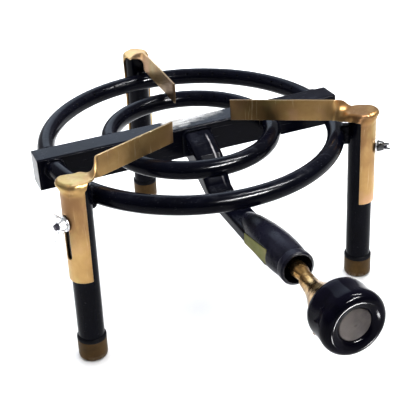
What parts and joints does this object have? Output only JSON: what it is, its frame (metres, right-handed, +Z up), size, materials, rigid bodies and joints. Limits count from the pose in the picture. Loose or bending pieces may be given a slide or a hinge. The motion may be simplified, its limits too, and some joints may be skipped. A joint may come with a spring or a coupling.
{
  "type": "stock pot range",
  "caption": "Free-standing two-ring gas burner on tube legs, with height-adjustable pot supports clamped by wing nuts and a needle valve with a round knob.",
  "frame": {"origin": "middle of the footprint box, on the floor", "axes": "+X along the gas manifold, +Y towards the rear leg and away from the control knob, +Z up"},
  "size_m": [0.3408, 0.5025, 0.1938],
  "materials": {
    "black_enamel": "semi-gloss",
    "yellow_zinc": "satin",
    "bright_zinc": "satin",
    "brown_polymer": "matte",
    "black_polymer": "matte",
    "plate_green": "satin",
    "brass": "satin",
    "black_iron": "semi-gloss",
    "graphite_packing": "matte",
    "black_bakelite": "gloss",
    "disc_grey": "satin"
  },
  "bodies": {
    "frame": {"manifold_tube": "black_enamel", "manifold_end_caps": "black_enamel", "outer_ring_front": "black_enamel", "outer_ring_rear": "black_enamel", "inner_ring_front": "black_enamel", "inner_ring_rear": "black_enamel", "leg_left": "black_enamel", "leg_right": "black_enamel", "leg_rear": "black_enamel", "foot_caps": "brown_polymer", "foot_collars": "black_polymer", "clamp_bolts": "bright_zinc", "clamp_washers": "bright_zinc", "leg_welds": "black_enamel", "feed_riser": "black_enamel", "feed_duct": "black_enamel", "mixer_casting": "black_iron", "rating_plate": "plate_green", "injector_nozzle": "brass", "valve_body": "brass", "gas_inlet_spigot": "brass", "packing_ring": "graphite_packing", "gland_nut": "brass"},
    "support_left": {"pot_support_left": "yellow_zinc"},
    "nut_left": {"wing_nut_left": "bright_zinc"},
    "support_right": {"pot_support_right": "yellow_zinc"},
    "nut_right": {"wing_nut_right": "bright_zinc"},
    "support_rear": {"pot_support_rear": "yellow_zinc"},
    "nut_rear": {"wing_nut_rear": "bright_zinc"},
    "knob": {"valve_spindle": "brass", "control_knob": "black_bakelite", "knob_disc": "disc_grey"}
  },
  "joints": [
    {"name": "support_left_slide", "type": "slide", "parent": "frame", "child": "support_left", "axis": [0.023, 0.0142, 0.9996], "range_m": [0, 0.03]},
    {"name": "nut_left_turn", "type": "hinge", "parent": "frame", "child": "nut_left", "pos_m": [-0.15758, -0.03474, 0.14736], "axis": [-0.9469, -0.3204, 0.0264], "range_deg": [0, 720]},
    {"name": "support_right_slide", "type": "slide", "parent": "frame", "child": "support_right", "axis": [-0.0235, 0.0133, 0.9996], "range_m": [0, 0.03]},
    {"name": "nut_right_turn", "type": "hinge", "parent": "frame", "child": "nut_right", "pos_m": [0.15393, -0.03377, 0.14737], "axis": [0.7973, -0.603, 0.0268], "range_deg": [0, 720]},
    {"name": "support_rear_slide", "type": "slide", "parent": "frame", "child": "support_rear", "axis": [-0.0004, -0.027, 0.9996], "range_m": [0, 0.03]},
    {"name": "nut_rear_turn", "type": "hinge", "parent": "frame", "child": "nut_rear", "pos_m": [0.00178, 0.23769, 0.14737], "axis": [0.0906, 0.9955, 0.027], "range_deg": [0, 720]},
    {"name": "knob_turn", "type": "hinge", "parent": "frame", "child": "knob", "pos_m": [-0.00225, -0.22041, 0.13597], "axis": [0, -0.9984, 0.0558], "range_deg": [0, 540]}
  ]
}
